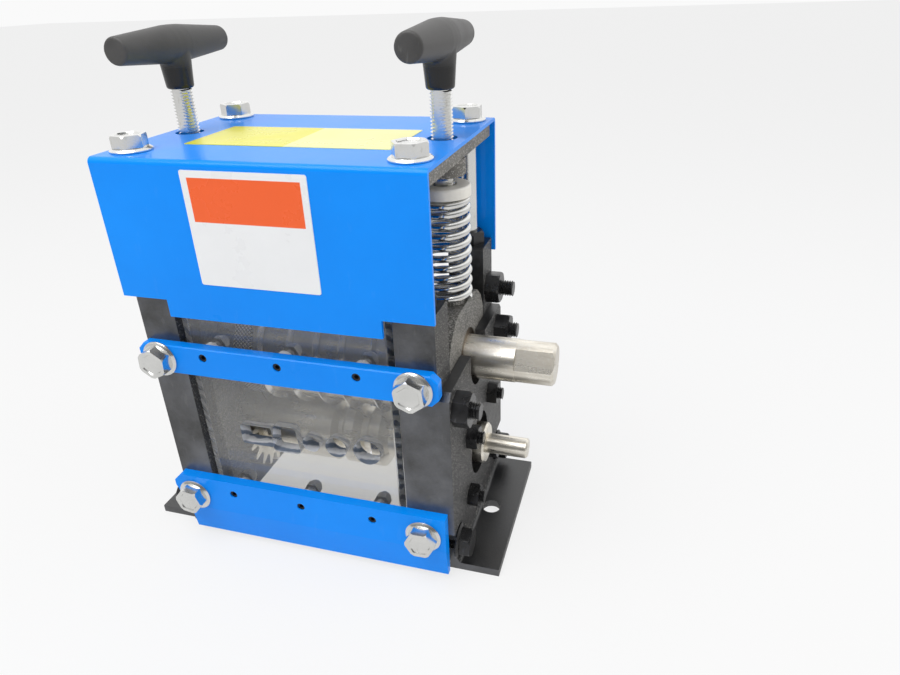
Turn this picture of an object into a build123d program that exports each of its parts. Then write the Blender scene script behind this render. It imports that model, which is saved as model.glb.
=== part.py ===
from build123d import *
import math
import os

# Hand crank wire stripper. Millimetres. +X to the drive side, +Y to the rear, +Z up.
# Origin: middle of the two foot holes, on the floor. The two shafts lie in the plane y = 0.

# ---- driving sizes -------------------------------------------------------------------------
cover_overhang = 2.3
cover_height = 247.0
cover_sheet = 2.0
cover_bend = 3.0
cover_front = -67.0
cover_rear = 63.3
flange_front_lap = 1.6
tongue_extra = 10.1
tongue_inset = 27.7
flange_rear_lap = 8.5
top_plate_t = 8.0

frame_bar = 22.4
frame_outer = 87.7
frame_half_depth = 61.0
frame_top = 173.0
frame_foot = 6.0
sill_top = 29.0
plate_t = 6.0
plate_low = 33.0
plate_high = 128.4
notch_gap = 4.0
lower_port_gap = 3.0

foot_leg = 30.6
foot_t = 5.0
foot_len = 108.0
foot_hole_r = 6.0
foot_hole_in = 13.3

bar_t = 6.0
mid_bar_low = 124.4
mid_bar_high = 142.4
low_bar_low = 5.0
low_bar_fold = 24.4
low_bar_high = 48.4
low_bar_lean = 2.5
mid_bolt_z = 133.4
low_bolt_z = 34.4
rear_panel_t = 3.0
rear_panel_high = 97.4
exit_slot_x = 5.0
exit_slot_z = 80.0
exit_slot_w = 112.0
exit_slot_h = 24.0

bolt_r = 5.0
bolt_hex = 16.0
bolt_head_h = 6.5
bolt_washer_r = 10.8
bolt_washer_h = 2.0
nut_h = 8.0
hole_gap = 0.3
foot_bolt_z = 19.2
rear_bolt_z = (34.4, 84.0)
plate_bolt_z = (114.0, 143.4)
bearing_bolt_r = 4.0
bearing_bolt_y = 25.5
bearing_bolt_rise = 21.0

window_t = 9.5
window_recess = 4.5
window_right_gap = 6.0
window_low = 28.0
window_high = 170.0
screw_r = 2.5
screw_pitch = 46.5
screw_mid_x = -1.5
screw_z = (39.5, 136.7)
cap_nut_r = 5.0

feed_z = 80.0
lane_x = (-30.3, -11.0, 5.8, 21.9, 41.3)
lane_w = (21.0, 18.5, 11.0, 13.4, 16.8)
lane_h = (13.6, 18.7, 11.0, 13.4, 16.8)

lower_z = 57.0
upper_z = 119.4
shaft_r = 13.0
shaft_reach = 52.8
flat_from = 29.9
flat_depth = 1.6
crank_seat_step = 0.3
shaft_short = 1.7
lower_stub_reach = 11.3
drive_pin_r = 6.35
drive_pin_len = 26.0
run_fit = 0.03

block_side_gap = 0.2
block_flange_t = 3.0
block_flange_lap = 3.5
block_wall = 10.0
upper_block_crown = 35.0
lower_block_in = 3.7
block_arch_r = 33.0
bush_wall = 4.0

drum_left = -48.0
drum_right_gap = 9.3
knurl_w = 12.0
blade_r = 38.0
blade_t = 4.0
blade_over_knurl = 2.0
blade_reach = 3.5
nip = 2.4
groove_depth = (5.0, 6.0, 7.0)
collar_w = 5.0
collar_r = 20.0

gear_m = 3.0
gear_n = 20
gear_w = 10.0
gear_left_gap = 4.8
gear_backlash = 0.6

spring_r = 12.2
spring_wire = 4.0
spring_turns = 8
spring_end_pitch = 4.55
seat_drop = 20.0
seat_t = 6.0
seat_r = 14.5
thread_r = 6.0
handle_rise = 47.0
handle_half = 45.0
handle_mid_r = 9.8
handle_tip_r = 6.4
stem_rise = 24.0

# ---- derived places ------------------------------------------------------------------------
cover_width = 2 * (frame_outer + cover_overhang)
cw = cover_width / 2
flange_front_low = frame_top - flange_front_lap
tongue_low = flange_front_low - tongue_extra
flange_rear_low = frame_top - flange_rear_lap
plate_top = cover_height - cover_sheet
plate_bottom = plate_top - top_plate_t

frame_inner = frame_outer - frame_bar
slot_half = frame_half_depth - frame_bar
bar_x = frame_outer - frame_bar / 2
bar_y = frame_half_depth - frame_bar / 2
foot_hole_x = frame_outer + foot_hole_in
notch_half = shaft_r + notch_gap
lower_port_r = shaft_r + bush_wall + lower_port_gap

bar_front = cover_front
bar_back = bar_front + bar_t
window_front = bar_back + window_recess
window_back = window_front + window_t
window_right = frame_inner - window_right_gap
screw_xs = [screw_mid_x + i * screw_pitch for i in (-1, 0, 1)]

plate_bolts = ((-bar_y, plate_bolt_z[0]), (bar_y, plate_bolt_z[0]), (bar_y, plate_bolt_z[1]))
bearing_bolts = [(a * bearing_bolt_y, lower_z + b * bearing_bolt_rise) for a in (-1, 1) for b in (-1, 1)]

shaft_end = frame_outer + shaft_reach
flat_start = frame_outer + flat_from
crank_seat_r = shaft_r - crank_seat_step
shaft_left = shaft_short - frame_outer
lower_stub_end = frame_outer + lower_stub_reach
bush_r = shaft_r + bush_wall
upper_block_low = upper_z - bush_r - block_wall
upper_block_high = upper_z + upper_block_crown
lower_block_high = lower_z + bush_r + block_wall
lower_block_face = frame_outer - lower_block_in

drum_right = frame_inner - drum_right_gap
gear_left = gear_left_gap - frame_inner
knurl_r = blade_r - blade_over_knurl
spacer_r = blade_r - blade_reach
roller_r = upper_z - lower_z - blade_r - nip
groove_r = [roller_r - depth for depth in groove_depth]

seat_low = plate_bottom - seat_drop
handle_x = bar_x
handle_z = cover_height + handle_rise
stem_low = cover_height + stem_rise


# ---- helpers -------------------------------------------------------------------------------
def box(x0, x1, y0, y1, z0, z1):
    return Pos((x0 + x1) / 2, (y0 + y1) / 2, (z0 + z1) / 2) * Box(x1 - x0, y1 - y0, z1 - z0)


def rod_x(r, x0, x1, y, z):
    return Pos((x0 + x1) / 2, y, z) * Rot(0, 90, 0) * Cylinder(r, x1 - x0)


def rod_y(r, y0, y1, x, z):
    return Pos(x, (y0 + y1) / 2, z) * Rot(90, 0, 0) * Cylinder(r, y1 - y0)


def rod_z(r, z0, z1, x, y):
    return Pos(x, y, (z0 + z1) / 2) * Cylinder(r, z1 - z0)


def hexagon(across, height):
    # a hexagonal prism along +Z from z = 0, its corners turned down by a cone
    prism = extrude(RegularPolygon(across / math.sqrt(3), 6), height)
    top = across / 2 + height - 0.4
    return prism & Cone(top, across / 2 - 0.4, height, align=(Align.CENTER, Align.CENTER, Align.MIN))


def flange_bolt(shank):
    # head above z = 0, shank below
    on_base = (Align.CENTER, Align.CENTER, Align.MIN)
    washer = Cone(bolt_washer_r, bolt_washer_r - 1.4, bolt_washer_h, align=on_base)
    head = Pos(0, 0, bolt_washer_h) * hexagon(bolt_hex, bolt_head_h)
    stem = Pos(0, 0, -shank / 2) * Cylinder(bolt_r, shank)
    return washer + head + stem


def stud_nut(across, height, tail, r):
    # hexagonal nut above z = 0 with the threaded end standing out of it
    return hexagon(across, height) + Pos(0, 0, (height + tail) / 2) * Cylinder(r, height + tail)


def to_front(x, y, z):
    # local +Z points to -Y
    return Pos(x, y, z) * Rot(90, 0, 0)


def to_rear(x, y, z):
    return Pos(x, y, z) * Rot(-90, 0, 0)


def to_side(x, y, z, side):
    # local +Z points to +X for side 1, -X for side -1
    return Pos(x, y, z) * Rot(0, 90 * side, 0)


def write(name, shape):
    solids = shape.solids() if hasattr(shape, "solids") else shape
    shape = solids[0] if len(solids) == 1 else Compound(children=list(solids))
    shape.label = name
    export_step(shape, "parts/" + name + ".step")


def group(items):
    return Compound(children=list(items))


# ---- frame ---------------------------------------------------------------------------------
def side_frame(side):
    # two square bars and a sill in one piece, open at the top for the sliding block
    outline = Polyline(
        (-frame_half_depth, frame_foot),
        (frame_half_depth, frame_foot),
        (frame_half_depth, frame_top),
        (slot_half, frame_top),
        (slot_half, sill_top),
        (-slot_half, sill_top),
        (-slot_half, frame_top),
        (-frame_half_depth, frame_top),
        close=True,
    )
    body = extrude(Plane.YZ.offset(frame_inner) * make_face(outline), frame_bar)
    tops = body.edges().filter_by(Axis.X).group_by(Axis.Z)[-1]
    body = chamfer(tops, 1.2)
    for y in (-bar_y, bar_y):
        body -= rod_z(bolt_r + run_fit, frame_top - 20, frame_top + 1, bar_x, y)
    for z in (mid_bolt_z, low_bolt_z):
        body -= rod_y(bolt_r + run_fit, -frame_half_depth - 1, -frame_half_depth + 15, bar_x, z)
    for z in rear_bolt_z:
        body -= rod_y(bolt_r + run_fit, frame_half_depth - 15, frame_half_depth + 1, bar_x, z)
    for y in (-bar_y, bar_y):
        body -= rod_x(bolt_r + run_fit, frame_outer - 12, frame_outer + 1, y, foot_bolt_z)
    if side > 0:
        for y, z in plate_bolts:
            body -= rod_x(bolt_r + run_fit, frame_outer - 12, frame_outer + 1, y, z)
    return body if side > 0 else mirror(body, Plane.YZ)


def side_plate():
    body = box(frame_outer, frame_outer + plate_t, -frame_half_depth, frame_half_depth, plate_low, plate_high)
    body = chamfer(body.edges().filter_by(Axis.X).group_by(Axis.Z)[-1], 4)
    x0, x1 = frame_outer - 1, frame_outer + plate_t + 1
    body -= rod_x(notch_half, x0, x1, 0, upper_z)
    body -= box(x0, x1, -notch_half, notch_half, upper_z, plate_high + 1)
    body -= rod_x(lower_port_r, x0, x1, 0, lower_z)
    for y, z in bearing_bolts:
        body -= rod_x(bearing_bolt_r + hole_gap, x0, x1, y, z)
    for y, z in plate_bolts[:2]:
        body -= rod_x(bolt_r + hole_gap, x0, x1, y, z)
    return body


def foot_angle(side):
    outline = Polyline(
        (frame_outer, 0),
        (frame_outer + foot_leg, 0),
        (frame_outer + foot_leg, foot_t),
        (frame_outer + foot_t, foot_t),
        (frame_outer + foot_t, foot_leg),
        (frame_outer, foot_leg),
        close=True,
    )
    body = extrude(Plane.XZ.offset(foot_len / 2) * make_face(outline), -foot_len)
    root = body.edges().filter_by(Axis.Y).sort_by_distance((frame_outer + foot_t, 0, foot_t))[0]
    body = fillet([root], 3)
    body -= rod_z(foot_hole_r, -1, foot_t + 1, foot_hole_x, 0)
    for y in (-bar_y, bar_y):
        body -= rod_x(bolt_r + hole_gap, frame_outer - 1, frame_outer + foot_t + 1, y, foot_bolt_z)
    return body if side > 0 else mirror(body, Plane.YZ)


def top_plate():
    body = box(-frame_outer, frame_outer, -frame_half_depth, frame_half_depth, plate_bottom, plate_top)
    body = fillet(body.edges().filter_by(Axis.Z), 3)
    body = chamfer(body.edges().group_by(Axis.Z)[-1], cover_bend - cover_sheet + 0.2)
    for x in (-1, 1):
        for y in (-bar_y, bar_y):
            body -= rod_z(bolt_r + hole_gap, plate_bottom - 1, plate_top + 1, x * bar_x, y)
        body -= rod_z(thread_r + run_fit, plate_bottom - 1, plate_top + 1, x * handle_x, 0)
    return body


def top_cover():
    # a strip of sheet bent twice, then its flanges trimmed
    front_back, rear_front = cover_front + cover_sheet, cover_rear - cover_sheet
    outer = Polyline(
        (cover_front, tongue_low),
        (cover_front, cover_height),
        (cover_rear, cover_height),
        (cover_rear, flange_rear_low),
        (rear_front, flange_rear_low),
        (rear_front, plate_top),
        (front_back, plate_top),
        (front_back, tongue_low),
        close=True,
    )
    body = extrude(Plane.YZ.offset(-cw) * make_face(outer), cover_width)
    body = fillet(body.edges().filter_by(Axis.X).group_by(Axis.Z)[-1], cover_bend)
    inside = body.edges().filter_by(Axis.X).filter_by_position(Axis.Z, plate_top - 0.01, plate_top + 0.01)
    inside = [e for e in inside if min(abs(e.center().Y - front_back), abs(e.center().Y - rear_front)) < 0.01]
    body = fillet(inside, cover_bend - cover_sheet)
    for side in (-1, 1):
        a, b = sorted((side * (cw - tongue_inset), side * (cw + 1)))
        body -= box(a, b, cover_front - 1, front_back + 1, tongue_low - 1, flange_front_low)
    for x in (-1, 1):
        for y in (-bar_y, bar_y):
            body -= rod_z(bolt_r + hole_gap, plate_top - 1, cover_height + 1, x * bar_x, y)
        body -= rod_z(thread_r + 2, plate_top - 1, cover_height + 1, x * handle_x, 0)
    return body


def top_bolts():
    out = []
    for x in (-1, 1):
        for y in (-bar_y, bar_y):
            out.append(Pos(x * bar_x, y, cover_height) * flange_bolt(cover_height - frame_top + 14))
    return group(out)


def post_nuts():
    out = []
    for x in (-1, 1):
        for y in (-bar_y, bar_y):
            nut = hexagon(bolt_hex, nut_h) - rod_z(bolt_r + run_fit, -1, nut_h + 1, 0, 0)
            out.append(Pos(x * bar_x, y, frame_top) * nut)
    return group(out)


def foot_bolts():
    out = []
    for side in (-1, 1):
        for y in (-bar_y, bar_y):
            place = to_side(side * (frame_outer + foot_t), y, foot_bolt_z, side)
            out.append(place * flange_bolt(foot_t + 11))
    return group(out)


def plate_bolt_set():
    # nuts with threaded ends on the bars; the top one sits above the plate
    out = []
    for i, (y, z) in enumerate(plate_bolts):
        x = frame_outer + (plate_t if i < 2 else 0)
        nut = stud_nut(bolt_hex + 2, 9, 5 if i < 2 else 8, bolt_r)
        tail = Pos(0, 0, -(x - frame_outer + 11) / 2) * Cylinder(bolt_r, x - frame_outer + 11)
        out.append(to_side(x, y, z, 1) * (nut + tail))
    return group(out)


# ---- front bars, window, rear panel --------------------------------------------------------
def middle_front_bar():
    cut = 4.0
    outline = Polyline(
        (-cw + cut, mid_bar_low),
        (cw - cut, mid_bar_low),
        (cw, mid_bar_low + cut),
        (cw, mid_bar_high - cut),
        (cw - cut, mid_bar_high),
        (-cw + cut, mid_bar_high),
        (-cw, mid_bar_high - cut),
        (-cw, mid_bar_low + cut),
        close=True,
    )
    body = extrude(Plane.XZ.offset(-bar_back) * make_face(outline), bar_t)
    front = body.faces().sort_by(Axis.Y)[0]
    body = chamfer(front.edges(), 0.6)
    for x in (-bar_x, bar_x):
        body -= rod_y(bolt_r + hole_gap, bar_front - 1, bar_back + 1, x, mid_bolt_z)
    for x in screw_xs:
        body -= rod_y(screw_r + run_fit, bar_front - 1, bar_back + 1, x, screw_z[1])
    return body


def lower_front_bar():
    # bar with a slight fold, so its lower half leans back; one lower corner is cut away
    profile = Polyline(
        (bar_front, low_bar_high),
        (bar_front, low_bar_fold),
        (bar_front + low_bar_lean, low_bar_low),
        (bar_back, low_bar_low),
        (bar_back, low_bar_high),
        close=True,
    )
    body = extrude(Plane.YZ.offset(-cw) * make_face(profile), cover_width)
    corner = Polyline(
        (-cw - 1, low_bar_high - 9.0),
        (-cw, low_bar_high - 9.0),
        (-cw + 7.0, low_bar_fold - 1.0),
        (-cw + 7.0, low_bar_low - 1),
        (-cw - 1, low_bar_low - 1),
        close=True,
    )
    body -= extrude(Plane.XZ.offset(-bar_back - 1) * make_face(corner), bar_t + 2)
    nick = Polyline(
        (-cw - 1, low_bar_high + 1),
        (-cw + 6, low_bar_high + 1),
        (-cw - 1, low_bar_high - 6),
        close=True,
    )
    body -= extrude(Plane.XZ.offset(-bar_back - 1) * make_face(nick), bar_t + 2)
    for x in (-bar_x, bar_x):
        body -= rod_y(bolt_r + hole_gap, bar_front - 1, bar_back + 1, x, low_bolt_z)
    for x in screw_xs:
        body -= rod_y(screw_r + run_fit, bar_front - 1, bar_back + 1, x, screw_z[0])
    return body


def bar_bolts():
    out = []
    for x in (-bar_x, bar_x):
        for z in (mid_bolt_z, low_bolt_z):
            out.append(to_front(x, bar_front, z) * flange_bolt(bar_t + 14))
    return group(out)


def lane_hole(i, y0, y1):
    # two flat lanes with square mouths, three round lanes
    x, w, h = lane_x[i], lane_w[i], lane_h[i]
    if i == 0:
        shape = fillet(Rectangle(w, h).vertices(), 1.5)
    elif i == 1:
        shape = fillet(Trapezoid(w, h, 84).vertices(), 2.5)
    else:
        shape = Circle(w / 2)
    return extrude(Plane.XZ.offset(-y1) * Pos(x, feed_z) * shape, y1 - y0)


def guide_window():
    body = box(-frame_inner + 0.3, window_right, window_front, window_back, window_low, window_high)
    body = chamfer(body.edges().group_by(Axis.Y)[0], 0.5)
    for i in range(len(lane_x)):
        body -= lane_hole(i, window_front - 1, window_back + 1)
    for z in screw_z:
        for x in screw_xs:
            body -= rod_y(screw_r + hole_gap, window_front - 1, window_back + 1, x, z)
    return body


def window_screws():
    # grub screws, a little below the face of the bars, with a hexagon recess
    out = []
    for z in screw_z:
        for x in screw_xs:
            body = rod_y(screw_r, bar_front + 0.8, window_back + 6.0, x, z)
            body -= to_front(x, bar_front + 3.0, z) * extrude(RegularPolygon(1.5, 6), 3)
            out.append(body)
    return group(out)


def window_spacers():
    out = []
    for z in screw_z:
        for x in screw_xs:
            ring = rod_y(cap_nut_r, bar_back, window_front, x, z)
            out.append(ring - rod_y(screw_r + hole_gap, bar_back - 1, window_front + 1, x, z))
    return group(out)


def window_cap_nuts():
    out = []
    for z in screw_z:
        for x in screw_xs:
            dome = Pos(0, 0, 4.2) * Sphere(cap_nut_r * 0.86) & Pos(0, 0, 7) * Box(12, 12, 5.6)
            nut = hexagon(cap_nut_r * 1.84, 4.5) + dome
            nut -= rod_z(screw_r + run_fit, -1, 6.1, 0, 0)
            out.append(to_rear(x, window_back, z) * nut)
    return group(out)


def rear_panel():
    y0, y1 = frame_half_depth, frame_half_depth + rear_panel_t
    body = box(-cw, cw, y0, y1, low_bar_low, rear_panel_high)
    body = fillet(body.edges().filter_by(Axis.Y), 4)
    slot = Pos(exit_slot_x, exit_slot_z) * SlotOverall(exit_slot_w, exit_slot_h)
    body -= extrude(Plane.XZ.offset(-y1 - 1) * slot, rear_panel_t + 2)
    for x in (-bar_x, bar_x):
        for z in rear_bolt_z:
            body -= rod_y(bolt_r + hole_gap, y0 - 1, y1 + 1, x, z)
    return body


def rear_panel_bolts():
    out = []
    for x in (-bar_x, bar_x):
        for z in rear_bolt_z:
            out.append(to_rear(x, frame_half_depth + rear_panel_t, z) * flange_bolt(rear_panel_t + 14))
    return group(out)


# ---- bearing blocks ------------------------------------------------------------------------
def block_body(low, high, face, z):
    # block that fills the slot, with an inner flange that laps the bars
    half = slot_half - block_side_gap
    inner = frame_inner - 0.3
    body = box(inner, face, -half, half, low, high)
    flange = box(inner - block_flange_t, inner, -half - block_flange_lap, half + block_flange_lap, low, high)
    body += flange
    body -= rod_x(bush_r + run_fit, inner - block_flange_t - 1, face + 1, 0, z)
    return body


def upper_block(side):
    half = slot_half - block_side_gap
    face = frame_outer - 0.3
    body = block_body(upper_block_low, upper_block_high, face, upper_z)
    # arched shoulders of the casting, with a flat land for the spring
    lap = half + block_flange_lap + 1
    land = seat_r + 1.5
    drop = 20.0
    for s in (-1, 1):
        arch = Polyline(
            (s * land, upper_block_high + 1),
            (s * land, upper_block_high),
            (s * (land + 8), upper_block_high - 2.2),
            (s * (land + 16), upper_block_high - 8.5),
            (s * half, upper_block_high - drop),
            (s * lap, upper_block_high - drop - 3),
            (s * lap, upper_block_high + 1),
            close=True,
        )
        body -= extrude(Plane.YZ.offset(frame_inner - 10) * make_face(arch), frame_bar + 20)
    pip = rod_z(spring_r - spring_wire / 2 - 0.6, upper_block_high - 1, upper_block_high + 4, handle_x, 0)
    body += chamfer(pip.edges().group_by(Axis.Z)[-1], 1.0)
    return body if side > 0 else mirror(body, Plane.YZ)


def lower_block(side):
    body = block_body(sill_top, lower_block_high, lower_block_face, lower_z)
    if side > 0:
        for y, z in bearing_bolts:
            body -= rod_x(bearing_bolt_r + run_fit, frame_inner + 4, lower_block_face + 1, y, z)
    body -= rod_z(bolt_r + run_fit, lower_block_high - 8.5, lower_block_high + 1, bar_x, 0)
    return body if side > 0 else mirror(body, Plane.YZ)


def bushes(z, face):
    out = []
    inner = frame_inner - 0.3 - block_flange_t
    for side in (-1, 1):
        a, b = sorted((side * inner, side * face))
        ring = rod_x(bush_r, a, b, 0, z) - rod_x(shaft_r + run_fit, a - 1, b + 1, 0, z)
        out.append(ring)
    return group(out)


def stop_screws():
    # short bolts in the lower blocks: the upper blocks come down on their heads
    out = []
    gap = upper_block_low - lower_block_high
    for side in (-1, 1):
        head = hexagon(bolt_hex, gap - 2.3) + rod_z(bolt_r - 0.6, 0, gap, 0, 0)
        stem = rod_z(bolt_r, -8, 0.5, 0, 0)
        out.append(Pos(side * bar_x, 0, lower_block_high) * (head + stem))
    return group(out)


def lower_bearing_bolts():
    out = []
    x = frame_outer + plate_t
    for y, z in bearing_bolts:
        nut = stud_nut(13.0, 6.5, 3.0, bearing_bolt_r)
        tail = Pos(0, 0, -(x - frame_inner - 5) / 2) * Cylinder(bearing_bolt_r, x - frame_inner - 5)
        out.append(to_side(x, y, z, 1) * (nut + tail))
    return group(out)


# ---- blade drum and feed roller ------------------------------------------------------------
def revolve_x(points, z):
    face = make_face(Plane.XZ * Polyline(*points, close=True))
    return Pos(0, 0, z) * revolve(face, Axis.X, 360)


def upper_shaft():
    c = 1.5
    body = revolve_x(
        (
            (shaft_left, 0),
            (shaft_left, shaft_r - c),
            (shaft_left + c, shaft_r),
            (flat_start, shaft_r),
            (flat_start, crank_seat_r),
            (shaft_end - c, crank_seat_r),
            (shaft_end, crank_seat_r - c),
            (shaft_end, 0),
        ),
        upper_z,
    )
    flat = box(flat_start, shaft_end + 1, -shaft_r - 1, shaft_r + 1, crank_seat_r - flat_depth, shaft_r + 1)
    body -= Pos(0, 0, upper_z) * Rot(60, 0, 0) * flat
    return body


def lower_shaft():
    c = 1.2
    e, p = lower_stub_end, lower_stub_end + drive_pin_len
    points = (
        (shaft_left, 0),
        (shaft_left, shaft_r - c),
        (shaft_left + c, shaft_r),
        (e - c, shaft_r),
        (e, shaft_r - c),
        (e, drive_pin_r),
        (p - 1, drive_pin_r),
        (p, drive_pin_r - 1),
        (p, 0),
    )
    return revolve_x(points, lower_z)


def blade_discs():
    out = []
    bore = shaft_r + run_fit
    for x in lane_x:
        a, b = x - blade_t / 2, x + blade_t / 2
        shoulder = spacer_r + 0.8
        points = ((a, bore), (a, shoulder), (x - 0.3, blade_r), (x + 0.3, blade_r), (b, shoulder), (b, bore))
        out.append(revolve_x(points, upper_z))
    return group(out)


def blade_spacers():
    out = []
    bore = shaft_r + run_fit
    starts = [drum_left + knurl_w] + [x + blade_t / 2 for x in lane_x]
    ends = [x - blade_t / 2 for x in lane_x] + [drum_right]
    for a, b in zip(starts, ends):
        c, r = 0.6, spacer_r
        points = ((a, bore), (a, r - c), (a + c, r), (b - c, r), (b, r - c), (b, bore))
        out.append(revolve_x(points, upper_z))
    return group(out)


def knurled_drum():
    bore = shaft_r + run_fit
    a, b = drum_left, drum_left + knurl_w
    c = 1.0
    points = ((a, bore), (a, knurl_r - c), (a + c, knurl_r), (b - c, knurl_r), (b, knurl_r - c), (b, bore))
    return revolve_x(points, upper_z)


def grooved_roller():
    # a groove under each of the three small lanes: flat floor, walls that lean out
    bore = shaft_r + run_fit
    profile = [(drum_left, bore), (drum_left, roller_r - 1), (drum_left + 1, roller_r)]
    for floor_r, x, w in zip(groove_r, lane_x[2:], lane_w[2:]):
        top, floor = w / 2 - 1.0, w / 2 - 1.0 - (roller_r - floor_r) * 0.6
        profile += [(x - top, roller_r), (x - floor, floor_r), (x + floor, floor_r), (x + top, roller_r)]
    profile += [(drum_right - 1, roller_r), (drum_right, roller_r - 1), (drum_right, bore)]
    return revolve_x(profile, lower_z)


def gear(z, phase):
    # straight flanks on the pitch circle, one tooth or one gap on the line of centres
    pitch_r = gear_m * gear_n / 2
    tip_r, root_r = pitch_r + gear_m, pitch_r - 1.25 * gear_m
    step = 2 * math.pi / gear_n
    half_pitch = (math.pi * gear_m / 2 - gear_backlash) / 2 / pitch_r
    half_tip = half_pitch - math.tan(math.radians(22)) * gear_m / tip_r
    half_root = half_pitch + math.tan(math.radians(16)) * 1.25 * gear_m / root_r
    points = []
    for i in range(gear_n):
        a = i * step + phase
        for r, t in ((root_r, -half_root), (tip_r, -half_tip), (tip_r, half_tip), (root_r, half_root)):
            points.append((r * math.cos(a + t), r * math.sin(a + t)))
    face = make_face(Polyline(*points, close=True))
    body = extrude(Plane.YZ.offset(gear_left) * face, gear_w)
    hub_end = drum_left
    body += rod_x(collar_r, gear_left + gear_w, hub_end, 0, 0)
    body -= rod_x(shaft_r + run_fit, gear_left - 1, hub_end + 1, 0, 0)
    return Pos(0, 0, z) * body


def collar(z):
    a, b = drum_right, drum_right + collar_w
    body = rod_x(collar_r, a, b, 0, z)
    body = chamfer(body.edges().filter_by(GeomType.CIRCLE), 0.8)
    return body - rod_x(shaft_r + run_fit, a - 1, b + 1, 0, z)


# ---- springs, seats and handles ------------------------------------------------------------
def helix_points(low, high):
    # closed end turns and open middle turns, sampled at each half turn with its tangent
    flat = spring_end_pitch
    total = spring_turns + 2
    middle = (high - low - 2 * flat) / spring_turns
    marks = [0, flat, flat + middle * spring_turns, 2 * flat + middle * spring_turns]
    out = []
    for i in range(total * 2 + 1):
        t = i / 2
        if t <= 1:
            z, slope = marks[0] + flat * t, flat
        elif t >= total - 1:
            z, slope = marks[2] + flat * (t - total + 1), flat
        else:
            z, slope = marks[1] + middle * (t - 1), middle
        if t in (1, total - 1):
            slope = (flat + middle) / 2
        a = 2 * math.pi * t
        p = Vector(spring_r * math.cos(a), spring_r * math.sin(a), low + z)
        d = Vector(-spring_r * math.sin(a), spring_r * math.cos(a), slope / 2 / math.pi).normalized()
        out.append((p, d))
    return out


def spring_path(low, high):
    marks = helix_points(low, high)
    edges = []
    track = []
    for (p0, t0), (p1, t1) in zip(marks, marks[1:]):
        v, t = p1 - p0, t0 + t1
        k = 2 * (1 - t0.dot(t1))
        d = (-v.dot(t) + math.sqrt(v.dot(t) ** 2 + k * v.dot(v))) / k
        pm = (p0 + p1 + (t0 - t1) * d) * 0.5
        tm = ((p1 - t1 * d) - (p0 + t0 * d)).normalized()
        for a, b, tangent in ((p0, pm, t0), (pm, p1, tm)):
            arc = Edge.make_tangent_arc(a, tangent, b)
            edges.append(arc)
            track += [arc @ (j / 12) for j in range(12)]
    return Wire(edges), marks[0], track


def self_gap(track):
    # least distance between points of the wire's centre line more than half a turn apart
    skip = 30
    best = 1e9
    for i, p in enumerate(track):
        for q in track[i + skip:i + 70]:
            best = min(best, (p - q).length)
    return best - spring_wire


def spring(side):
    low = upper_block_high + 0.3 + spring_wire / 2
    high = seat_low - 0.3 - spring_wire / 2
    path, (p0, t0), track = spring_path(low, high)
    body = sweep(Plane(origin=p0, z_dir=t0) * Circle(spring_wire / 2), path=path)
    if side > 0:
        print("spring least gap to itself %.2f mm" % self_gap(track))
    return Pos(side * handle_x, 0, 0) * body


def spring_seat(side):
    body = rod_z(seat_r, seat_low, seat_low + seat_t, 0, 0)
    body = fillet(body.edges().group_by(Axis.Z)[-1], 1.2)
    pip = rod_z(spring_r - spring_wire / 2 - 0.6, seat_low - 4, seat_low + 1, 0, 0)
    body += chamfer(pip.edges().group_by(Axis.Z)[0], 1.0)
    body -= rod_z(thread_r + 0.8, seat_low + 3.0, seat_low + seat_t + 1, 0, 0)
    return Pos(side * handle_x, 0, 0) * body


def adjusting_screw(side):
    low = seat_low + 3.3
    body = rod_z(thread_r, low, handle_z - 4, 0, 0)
    body = chamfer(body.edges().filter_by(GeomType.CIRCLE), 1.2)
    return Pos(side * handle_x, 0, 0) * body


def t_handle(side):
    # moulded grip: two tapered arms with rounded ends, and a stem that narrows downwards
    h, m, t = handle_half, handle_mid_r, handle_tip_r
    c = 1.6
    half = Polyline((0, 0), (0, m), (5, m - 0.1), (h - c, t + 0.3), (h, t + 0.3 - c), (h, 0), close=True)
    arm = revolve(make_face(Plane.YZ * half), Axis.Y, 360)
    body = arm + mirror(arm, Plane.XZ)
    drop = handle_z - stem_low
    stem = Pos(0, 0, -drop / 2) * Cone(7.6, 9.2, drop)
    stem = fillet(stem.edges().filter_by(GeomType.CIRCLE).group_by(Axis.Z)[0], 1.2)
    body += stem
    body -= rod_z(thread_r + run_fit, -drop - 1, -3.8, 0, 0)
    return Pos(side * handle_x, 0, handle_z) * body


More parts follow.
